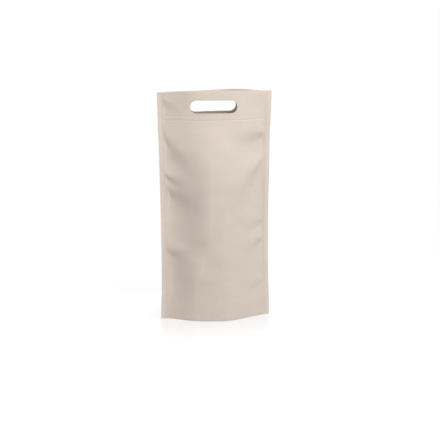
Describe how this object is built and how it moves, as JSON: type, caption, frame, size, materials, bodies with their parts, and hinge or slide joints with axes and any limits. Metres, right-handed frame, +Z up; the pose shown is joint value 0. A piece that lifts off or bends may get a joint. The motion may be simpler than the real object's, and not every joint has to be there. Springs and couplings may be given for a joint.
{
  "type": "bottle carrier bag",
  "caption": "Tall soft bottle bag of welded non-woven cloth, standing open and empty, with a hand slot cut through its turned-in hems and a folded gusset in the bottom.",
  "frame": {"origin": "on the floor under the middle of the bag, halfway between the two panels and the two side welds", "axes": "+Z up towards the mouth, +X across the panels to the right as seen from the front, front panel faces -Y"},
  "size_m": [0.192, 0.07, 0.39],
  "materials": {
    "cloth": "matte non-woven polypropylene with a fine pattern of bond points",
    "weld": "fused non-woven polypropylene, pressed flat and a little smoother than the cloth"
  },
  "bodies": {
    "root": {"front_panel": "cloth", "back_panel": "cloth", "front_grip": "cloth", "back_grip": "cloth", "front_hem_facing": "cloth", "back_hem_facing": "cloth", "front_hem_weld": "weld", "back_hem_weld": "weld", "left_side_weld": "weld", "right_side_weld": "weld", "bottom_gusset": "cloth"}
  },
  "joints": []
}
